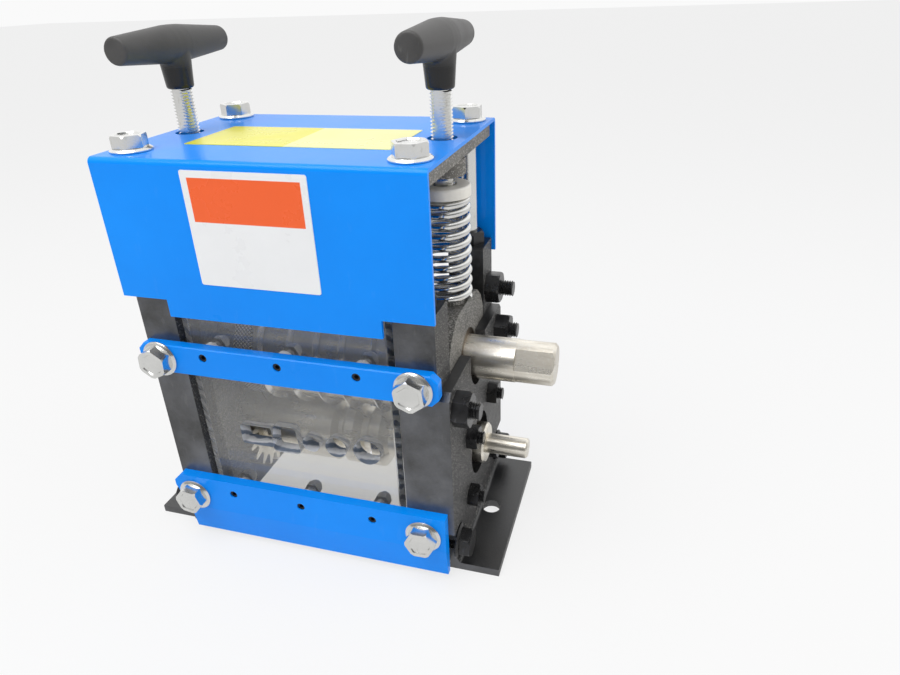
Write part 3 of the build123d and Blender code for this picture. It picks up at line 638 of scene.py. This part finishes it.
def clear_acrylic(c):
    """The two clear faces of the guide plate, with a faint pale veil, clouded unevenly, that is a painted
    reflection of the pale surroundings.
    """
    made, tree, bsdf, wear, _ = worn_material(
        "clear_acrylic", (12.0, 130.0), Transmission_Weight=0.86, IOR=1.49)
    # painted reflection: the pale diffuse part of the plate stands in for the surroundings reflected in its
    # faces
    reflection_veil = clouded(tree, wear, c.acrylic, dim(c.acrylic, 0.92), high=0.75)
    surface(tree, bsdf, reflection_veil, ramp(tree, wear["Cloud"], 0.35, 0.75, 0.015, 0.07))
    return made


def sawn_acrylic():
    """Frosted edges and hole walls of the guide plate, with slanting saw marks."""
    made, tree, bsdf = material("sawn_acrylic", Transmission_Weight=0.35, IOR=1.49)
    lean = node(tree, "Mapping", {"Vector": object_place(tree), "Rotation": (0.65, 0.0, 0.0)})
    saw = node(tree, "TexWave", {"Vector": lean.outputs["Vector"], "Scale": 52.0, "Distortion": 2.5,
                                 "Detail": 2.0, "Detail Scale": 2.0},
               wave_type="BANDS", bands_direction="Z").outputs["Fac"]
    tone = mix_colour(tree, ramp(tree, saw, 0.25, 0.6), (0.22, 0.27, 0.36), (0.97, 0.98, 1.0))
    surface(tree, bsdf, tone, ramp(tree, saw, 0, 1, 0.30, 0.50))
    bump(tree, bsdf, saw, 0.0006, 0.8)
    return made


def film(name, ground, tint, spans):
    """Printed film: a ground colour, and a patch of another between two (axis, low, high) spans."""
    made, tree, bsdf, wear, _ = worn_material(name, (35.0, 160.0), Roughness=0.3, Coat_Weight=0.2)
    tone = clouded(tree, wear, dim(ground, 0.95), ground, high=0.75)
    place = node(tree, "SeparateXYZ", {0: object_place(tree)}).outputs
    inside = []
    for axis, low, high in spans:
        half = (high - low) / 2
        away = calc(tree, "ABSOLUTE", calc(tree, "SUBTRACT", place[axis], (low + high) / 2))
        inside.append(ramp(tree, away, half, half - 0.2 * MM))
    tone = mix_colour(tree, calc(tree, "MULTIPLY", *inside), tone, tint)
    surface(tree, bsdf, tone, uneven(tree, wear, 0.24, 0.38, 0.75))
    return made


# ---- operators: one for each piece or group of like pieces ------------------------------------
def corners(node_name, inset, axes):
    """Places of a group of four like fasteners, from the node's box and their radius."""
    low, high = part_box(node_name)
    first, second = [(low[axis] + inset, high[axis] - inset) for axis in axes]
    return [(a, b) for a in first for b in second]


def both(name):
    return "left_" + name, "right_" + name


class STRIPPER_OT_finishes(bpy.types.Operator):
    """Puts the paints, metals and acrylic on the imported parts"""
    bl_idname = "stripper.finishes"
    bl_label = "Finishes"

    def execute(self, context):
        c = settings(context).finish
        for build in (grain_group, wear_group, turned_group):
            build()
        upper = sum(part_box("upper_gear"), Vector()).z / 2
        lower = sum(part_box("lower_gear"), Vector()).z / 2
        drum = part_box("knurled_drum")
        drum_radius = (drum[1].y - drum[0].y) / 2
        looks = {
            blue_paint(c): ("top_cover", "middle_front_bar", "lower_front_bar", "rear_panel"),
            black_paint(c): (*both("side_frame"), *both("foot_angle"), "right_side_plate"),
            raw_plate(): ("top_plate",),
            cast_grey(c): (*both("upper_bearing_block"), *both("lower_bearing_block")),
            plated_matte("bright_plating", (0.97, 0.97, 0.95), 0.20, 0.30): ("window_cap_nuts",
                                                                             "window_spacers"),
            plated_matte("seat_plating", (0.93, 0.90, 0.82), 0.10, 0.42): both("spring_seat"),
            black_oxide(): ("foot_bolts", "side_plate_nuts", "post_nuts", "window_screws", "stop_screws",
                            "lower_bearing_nuts"),
            bronze(): ("upper_bushes", "lower_bushes"),
            turned_steel(c, "shaft_steel_upper", upper, 1.08): ("upper_shaft", "upper_shaft_collar"),
            turned_steel(c, "shaft_steel_lower", lower, 1.08): ("lower_shaft", "lower_shaft_collar"),
            turned_steel(c, "drum_steel", upper, 0.75, 0.5): ("blade_spacers", "upper_gear"),
            turned_steel(c, "blade_steel", upper, 1.3, 0.2, (0.12, 0.24)): ("blade_discs",),
            turned_steel(c, "roller_steel", lower, 0.85, 0.5): ("grooved_roller", "lower_gear"),
            knurled_steel(c, "knurled_steel", upper, drum_radius, 0.0024): ("knurled_drum",),
        }
        for look, names in looks.items():
            for name in names:
                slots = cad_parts[name].data.materials
                for index in range(len(slots)):
                    slots[index] = look
        return {"FINISHED"}


class STRIPPER_OT_guide_window(bpy.types.Operator):
    """Gives the clear guide plate its polished faces and its frosted edges and hole walls"""
    bl_idname = "stripper.guide_window"
    bl_label = "Guide window"

    def execute(self, context):
        bm = bmesh.new()
        bm.from_mesh(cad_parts["guide_window"].data)
        bmesh.ops.remove_doubles(bm, verts=bm.verts, dist=1e-6)
        bm.normal_update()
        for face in bm.faces:
            face.material_index = 0 if abs(face.normal.y) > 0.5 else 1
        look = clear_acrylic(settings(context).finish)
        obj = piece("guide_window_clear", bm, look, "frame", ("guide_window",), 30)
        obj.data.materials.append(sawn_acrylic())
        return {"FINISHED"}


class STRIPPER_OT_springs(bpy.types.Operator):
    """Winds the two compression springs, each in two halves that meet at its middle turn"""
    bl_idname = "stripper.springs"
    bl_label = "Springs"

    def execute(self, context):
        s = settings(context).spring
        look = zinc(settings(context).finish, "spring_zinc", (0.08, 0.20))
        for side in ("left", "right"):
            low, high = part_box(side + "_spring")
            middle = (low + high) / 2
            bottom, top = low.z + s.wire, high.z - s.wire
            open_pitch = (top - bottom - 2 * s.end_pitch) / s.turns
            half = s.turns // 2
            closed, open_run = (1, s.end_pitch), (half, open_pitch)
            join = bottom + s.end_pitch + half * open_pitch
            halves = (("lower", bottom, (closed, open_run), "blade_carriage", low.z + 2 * s.wire),
                      ("upper", join, (open_run, closed), side + "_seat", high.z - 2 * s.wire))
            for part, start, runs, follows, end in halves:
                bm = bmesh.new()
                wire = bmesh.ops.create_circle(bm, cap_ends=True, radius=s.wire, segments=14)["verts"]
                upright = Matrix.Rotation(QUARTER, 3, "X")
                bmesh.ops.rotate(bm, verts=wire, cent=(0, 0, 0), matrix=upright)
                bmesh.ops.translate(bm, verts=wire, vec=(s.coil, 0, start))
                geom = bm.faces[:]
                for turns, pitch in runs:
                    spun = bmesh.ops.spin(bm, geom=geom, cent=(0, 0, 0), axis=(0, 0, 1), angle=TURN * turns,
                                          dvec=(0, 0, pitch / s.steps), steps=s.steps * turns)
                    geom = [g for g in spun["geom_last"] if isinstance(g, bmesh.types.BMFace)]
                bmesh.ops.recalc_face_normals(bm, faces=bm.faces)
                bmesh.ops.translate(bm, verts=bm.verts, vec=(middle.x, middle.y, 0))
                obj = piece(side + "_spring_" + part, bm, look, None, (side + "_spring",), 50)
                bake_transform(obj)
        return {"FINISHED"}


class STRIPPER_OT_adjusting_screws(bpy.types.Operator):
    """Cuts the thread and the milled flat of the two adjusting screws"""
    bl_idname = "stripper.adjusting_screws"
    bl_label = "Adjusting screws"

    def execute(self, context):
        t = settings(context).thread
        look = zinc(settings(context).finish, "screw_zinc", (0.12, 0.26))
        for side in ("left", "right"):
            low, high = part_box(side + "_adjusting_screw")
            middle = (low + high) / 2
            bm = screw_thread(t.screw, t.screw_pitch, high.z - low.z)
            cut(bm, (0, -t.screw_flat, 0), (0, -1, 0))
            bmesh.ops.translate(bm, verts=bm.verts, vec=(middle.x, middle.y, low.z))
            bmesh.ops.recalc_face_normals(bm, faces=bm.faces)
            piece(side + "_adjusting_screw_thread", bm, look, side + "_handle", (side + "_adjusting_screw",),
                  SOFT_SHARP)
        return {"FINISHED"}


class STRIPPER_OT_plate_bosses(bpy.types.Operator):
    """Adds the grey bosses under the top plate that carry the thread of the adjusting screws"""
    bl_idname = "stripper.plate_bosses"
    bl_label = "Plate bosses"

    def execute(self, context):
        t = settings(context).thread
        for side in ("left", "right"):
            screw = sum(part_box(side + "_adjusting_screw"), Vector()) / 2
            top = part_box("top_plate")[0].z
            low, r, edge = top - t.boss_height, t.boss, 0.8 * MM
            bore = t.screw + 0.2 * MM
            ring = [(bore, low + edge), (bore + edge, low), (r - edge, low), (r, low + edge), (r, top),
                    (bore, top), (bore, low + edge)]
            bm = lathe(ring, ROUND_STEPS)
            bmesh.ops.translate(bm, verts=bm.verts, vec=(screw.x, screw.y, 0))
            look = bpy.data.materials["raw_plate"]
            piece(side + "_plate_boss", bm, look, "frame", (), SOFT_SHARP)
        return {"FINISHED"}


class STRIPPER_OT_grips(bpy.types.Operator):
    """Moulds the two T-handles, with the stem blended into the grip"""
    bl_idname = "stripper.grips"
    bl_label = "T-handles"

    def execute(self, context):
        g = settings(context).grip
        look = moulded_grip(settings(context).finish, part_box("left_t_handle")[1].z - 2 * g.middle)
        for side in ("left", "right"):
            low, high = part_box(side + "_t_handle")
            middle = (low + high) / 2
            reach, axis_z = (high.y - low.y) / 2, high.z - g.middle
            e = g.end_round
            bm = bmesh.new()
            curve = [(g.tip + 0.3 * MM - e + e * math.sin(a), reach - e + e * math.cos(a))
                     for a in (QUARTER * k / 4 for k in range(5))]
            arm = [(0, reach)] + curve + [(g.middle - 0.1 * MM, 6 * MM), (g.middle, 0)]
            outline = arm + [(r, -z) for r, z in reversed(arm[:-1])]
            lying = Matrix.Translation((middle.x, middle.y, axis_z)) @ AXES["+y"]
            add(bm, lathe(outline, ROUND_STEPS), lying)
            foot, joined = g.stem_foot, axis_z - 3 * MM
            stem = [(0, low.z), (foot - 1.2 * MM, low.z), (foot - 0.3 * MM, low.z + 0.4 * MM),
                    (foot, low.z + 1.3 * MM), (g.stem_top, joined), (0, joined)]
            add(bm, lathe(stem, ROUND_STEPS), Matrix.Translation((middle.x, middle.y, 0)))
            obj = piece(side + "_t_handle_grip", bm, look, None, ())
            remesh = obj.modifiers.new("Blend", "REMESH")
            remesh.mode, remesh.voxel_size, remesh.use_smooth_shade = "VOXEL", g.voxel, True
            smooth = obj.modifiers.new("Ease", "SMOOTH")
            smooth.factor, smooth.iterations = 0.5, 4
            mesh = bpy.data.meshes.new_from_object(obj.evaluated_get(context.evaluated_depsgraph_get()))
            obj.modifiers.clear()
            obj.data = mesh
            mesh.name = obj.name
            for polygon in mesh.polygons:
                polygon.use_smooth = True
            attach(obj, side + "_handle")
            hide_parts(side + "_t_handle")
        return {"FINISHED"}


class STRIPPER_OT_flange_bolts(bpy.types.Operator):
    """Makes the zinc flange bolts of the cover, the front bars and the rear panel"""
    bl_idname = "stripper.flange_bolts"
    bl_label = "Flange bolts"

    def execute(self, context):
        t = settings(context).thread
        look = zinc(settings(context).finish, "bolt_zinc", (0.12, 0.28))
        groups = {"top_bolts": ("+z", (0, 1), 2), "bar_bolts": ("-y", (0, 2), 1),
                  "rear_panel_bolts": ("+y", (0, 2), 1)}
        for name, (way, axes, along) in groups.items():
            low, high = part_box(name)
            heads = t.washer_depth + t.head
            if way[0] == "+":
                seat, back = high[along] - heads, low[along]
            else:
                seat, back = low[along] + heads, high[along]
            reach = abs(seat - back)
            cut_length = min(reach, t.bolt_cut)
            plain_length = reach - cut_length
            thread = screw_thread(t.bolt, t.bolt_pitch, cut_length, BOLT_THREAD_STEPS)
            bm = bmesh.new()
            for count, (first, second) in enumerate(corners(name, t.washer, axes)):
                at = Vector((0, 0, 0))
                at[axes[0]], at[axes[1]], at[along] = first, second, seat
                where = Matrix.Translation(at) @ AXES[way]
                below = where @ FLIP
                flange_head(bm, t, where, ROUND_STEPS, 0.35 + 0.62 * count, t.dish)
                add(bm, thread.copy(), below @ Matrix.Translation((0, 0, plain_length)))
                if plain_length > 0:
                    plain = [(0, 0), (t.bolt, 0), (t.bolt, plain_length - 0.6 * MM),
                             (t.bolt - 0.8 * MM, plain_length), (0, plain_length)]
                    add(bm, lathe(plain, 40), below)
            piece(name + "_detailed", bm, look, "frame", (name,), HARDWARE_SHARP)
        return {"FINISHED"}


class STRIPPER_OT_black_nuts(bpy.types.Operator):
    """Makes the black nuts and bolts of the drive side and the feet, with their threaded ends"""
    bl_idname = "stripper.black_nuts"
    bl_label = "Black nuts"

    def execute(self, context):
        t = settings(context).thread
        for name, build in (("lower_bearing_nuts", self.bearing_nuts), ("foot_bolts", self.foot_bolts),
                            ("side_plate_nuts", self.side_nuts)):
            bm = bmesh.new()
            build(bm, t, *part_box(name))
            look = bpy.data.materials["black_oxide"]
            piece(name + "_detailed", bm, look, "frame", (name,), HARDWARE_SHARP)
        return {"FINISHED"}

    def bearing_nuts(self, bm, t, low, high):
        thread = screw_thread(t.stud, t.stud_pitch, high.x - low.x, BOLT_THREAD_STEPS)
        for count, (y, z) in enumerate(corners("lower_bearing_nuts", t.stud_nut / 2, (1, 2))):
            where = Matrix.Translation((high.x - t.stud_tail, y, z)) @ AXES["+x"]
            add(bm, hexagon_prism(t.stud_nut, t.stud_nut_height, 0.2 + 0.5 * count), where)
            add(bm, thread.copy(), Matrix.Translation((low.x, y, z)) @ AXES["+x"])

    def foot_bolts(self, bm, t, low, high):
        thread = screw_thread(t.bolt, t.bolt_pitch, t.bolt_cut, BOLT_THREAD_STEPS)
        seat = high.x - t.washer_depth - t.head
        for way, x in (("-x", -seat), ("+x", seat)):
            for count, y in enumerate((low.y + t.washer, high.y - t.washer)):
                where = Matrix.Translation((x, y, (low.z + high.z) / 2)) @ AXES[way]
                flange_head(bm, t, where, 48, 0.3 + 0.7 * count)
                add(bm, thread.copy(), where @ FLIP)

    def side_nuts(self, bm, t, low, high):
        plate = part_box("right_side_plate")[1].x
        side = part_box("right_side_frame")[1].x
        corner = t.side_nut / math.sqrt(3)
        front, rear = low.y + t.side_nut / 2, high.y - t.side_nut / 2
        places = ((plate, front, low.z + corner, high.x), (plate, rear, low.z + corner, high.x),
                  (side, rear, high.z - corner, side + t.side_tail))
        for count, (face, y, z, tip) in enumerate(places):
            nut = hexagon_prism(t.side_nut, t.side_nut_height, 0.15 + 0.4 * count)
            add(bm, nut, Matrix.Translation((face, y, z)) @ AXES["+x"])
            thread = screw_thread(t.bolt, t.bolt_pitch, tip - low.x, BOLT_THREAD_STEPS)
            add(bm, thread, Matrix.Translation((low.x, y, z)) @ AXES["+x"])


class STRIPPER_OT_plates(bpy.types.Operator):
    """Sticks the plain colour plates on the front and the top of the cover"""
    bl_idname = "stripper.plates"
    bl_label = "Colour plates"

    def execute(self, context):
        p = settings(context).plate
        low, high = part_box("top_cover")
        (x0, z0), (x1, z1) = p.front_low, p.front_high
        (left, front), (right, rear) = p.top_low, p.top_high
        edge = p.front_edge
        sunk = 0.05 * MM
        white = film("plate_white", p.white, p.orange,
                     (("X", x0 + edge, x1 - edge), ("Z", z1 - p.front_band, z1 - edge)))
        # the paler right half of the top film is a painted sheen, not print
        yellow = film("plate_yellow", p.yellow, p.yellow_sheen,
                      (("X", (left + right) / 2, right + 1), ("Y", -1, 1)))
        for name, look, spans, face in (
            ("front_plate", white, ((x0, x1), (low.y - p.thick, low.y + sunk), (z0, z1)), 1),
            ("top_plate_film", yellow, ((left, right), (front, rear), (high.z - sunk, high.z + p.thick)), 2),
        ):
            bm = bmesh.new()
            bmesh.ops.create_cube(bm, size=1)
            bmesh.ops.scale(bm, verts=bm.verts, vec=[b - a for a, b in spans])
            bmesh.ops.translate(bm, verts=bm.verts, vec=[(a + b) / 2 for a, b in spans])
            upright = [e for e in bm.edges if e.calc_length() < p.thick * 3
                       and abs((e.verts[0].co - e.verts[1].co)[face]) > p.thick * 0.5]
            bmesh.ops.bevel(bm, geom=upright, offset=p.corner, offset_type="OFFSET", segments=5, profile=0.5,
                            affect="EDGES", material=-1)
            piece(name, bm, look, "frame", (), SOFT_SHARP)
        return {"FINISHED"}


def grey_shader(tree, kind, level, strength=1.0):
    return node(tree, kind, {"Color": (level, level, level, 1), "Strength": strength}).outputs[0]


def mix_shader(tree, mask, first, second):
    return node(tree, "MixShader", {0: mask, 1: first, 2: second}).outputs[0]


class STRIPPER_OT_stage(bpy.types.Operator):
    """Sets the floor, the soft lights and the camera at the photograph's angle"""
    bl_idname = "stripper.stage"
    bl_label = "Stage"

    def execute(self, context):
        s = settings(context).stage
        scene = context.scene
        bm = bmesh.new()
        bmesh.ops.create_grid(bm, x_segments=1, y_segments=1, size=s.floor_half)
        look, tree, bsdf = material("studio_floor", Base_Color=s.floor_tint, Roughness=0.9,
                                    Specular_IOR_Level=0.1)
        path = node(tree, "LightPath").outputs
        glow = grey_shader(tree, "Emission", s.floor_glow)
        glow_share = calc(tree, "MULTIPLY", path["Is Camera Ray"], s.floor_share)
        seen = mix_shader(tree, glow_share, bsdf.outputs[0], glow)
        shade = grey_shader(tree, "Emission", s.floor_gloss)
        both_ways = mix_shader(tree, path["Is Glossy Ray"], seen, shade)
        tree.links.new(both_ways, tree.nodes["Material Output"].inputs["Surface"])
        piece("studio_floor", bm, look, None)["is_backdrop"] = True

        world = bpy.data.worlds.new("studio")
        scene.world = world
        world.use_nodes = True
        tree = world.node_tree
        tree.nodes["Background"].inputs["Strength"].default_value = s.sky
        tree.nodes["Background"].inputs["Color"].default_value = (1, 1, 1, 1)
        white = grey_shader(tree, "Background", s.backdrop)
        path = node(tree, "LightPath").outputs
        straight = calc(tree, "MAXIMUM", path["Is Camera Ray"], path["Is Transmission Ray"])
        seen = mix_shader(tree, straight, tree.nodes["Background"].outputs[0], white)
        way = node(tree, "VectorMath", {0: node(tree, "TexCoord").outputs["Generated"], 1: GLINT_FROM},
                   operation="DOT_PRODUCT")
        brightness = ramp(tree, way.outputs["Value"], -0.25, 0.55, 0.16, 1.05)
        glint = grey_shader(tree, "Background", 1.0, brightness)
        both_ways = mix_shader(tree, path["Is Glossy Ray"], seen, glint)
        tree.links.new(both_ways, tree.nodes["World Output"].inputs["Surface"])

        middle = sum(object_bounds(), Vector()) / 2
        for name, watts, size, where in (("key_light", s.key_power, 0.9, (-0.22, -0.42, 1.15)),
                                         ("side_light", s.side_power, 0.6, (0.95, 0.05, 0.55))):
            lamp = bpy.data.lights.new(name, "AREA")
            lamp.energy, lamp.size = watts, size
            obj = bpy.data.objects.new(name, lamp)
            scene.collection.objects.link(obj)
            obj.location = where
            obj.rotation_euler = (middle - obj.location).to_track_quat("-Z", "Y").to_euler()
            obj.visible_glossy = name == "key_light"

        flat = math.cos(s.pitch)
        ahead = Vector((math.sin(s.yaw) * flat, math.cos(s.yaw) * flat, -math.sin(s.pitch)))
        level = Vector((math.cos(s.yaw), -math.sin(s.yaw), 0))
        upright = level.cross(ahead)
        right = math.cos(s.roll) * level + math.sin(s.roll) * upright
        up = -math.sin(s.roll) * level + math.cos(s.roll) * upright
        camera = bpy.data.objects.new("camera", bpy.data.cameras.new("camera"))
        scene.collection.objects.link(camera)
        turn = Matrix((right, up, -ahead)).transposed().to_4x4()
        camera.matrix_world = Matrix.Translation(s.eye) @ turn
        camera.data.sensor_fit = "HORIZONTAL"
        camera.data.sensor_width = 36.0
        camera.data.lens = s.lens
        camera.data.clip_start = 0.01
        scene.camera = camera
        scene.view_settings.view_transform = "Standard"
        return {"FINISHED"}


class STRIPPER_PT_panel(bpy.types.Panel):
    """Lists the pieces and the stage"""
    bl_label = "Wire stripper"
    bl_idname = "STRIPPER_PT_panel"
    bl_space_type = "VIEW_3D"
    bl_region_type = "UI"
    bl_category = "Stripper"

    def draw(self, context):
        for operator in OPERATORS:
            self.layout.operator(operator.bl_idname)
        for name in GROUPS:
            box = self.layout.box()
            box.label(text=name.capitalize())
            values = getattr(settings(context), name)
            for key in GROUPS[name].__annotations__:
                box.prop(values, key)


OPERATORS = (STRIPPER_OT_finishes, STRIPPER_OT_guide_window, STRIPPER_OT_springs,
             STRIPPER_OT_adjusting_screws, STRIPPER_OT_plate_bosses, STRIPPER_OT_grips,
             STRIPPER_OT_flange_bolts, STRIPPER_OT_black_nuts, STRIPPER_OT_plates, STRIPPER_OT_stage)
CLASSES = (*GROUPS.values(), StripperSettings, *OPERATORS, STRIPPER_PT_panel)


def register():
    for cls in CLASSES:
        bpy.utils.register_class(cls)
    bpy.types.Scene.stripper = PointerProperty(type=StripperSettings)


def unregister():
    del bpy.types.Scene.stripper
    for cls in reversed(CLASSES):
        bpy.utils.unregister_class(cls)


def main():
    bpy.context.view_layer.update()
    register()
    for operator in OPERATORS:
        group, name = operator.bl_idname.split(".")
        getattr(getattr(bpy.ops, group), name)()


if __name__ == "__main__":
    main()
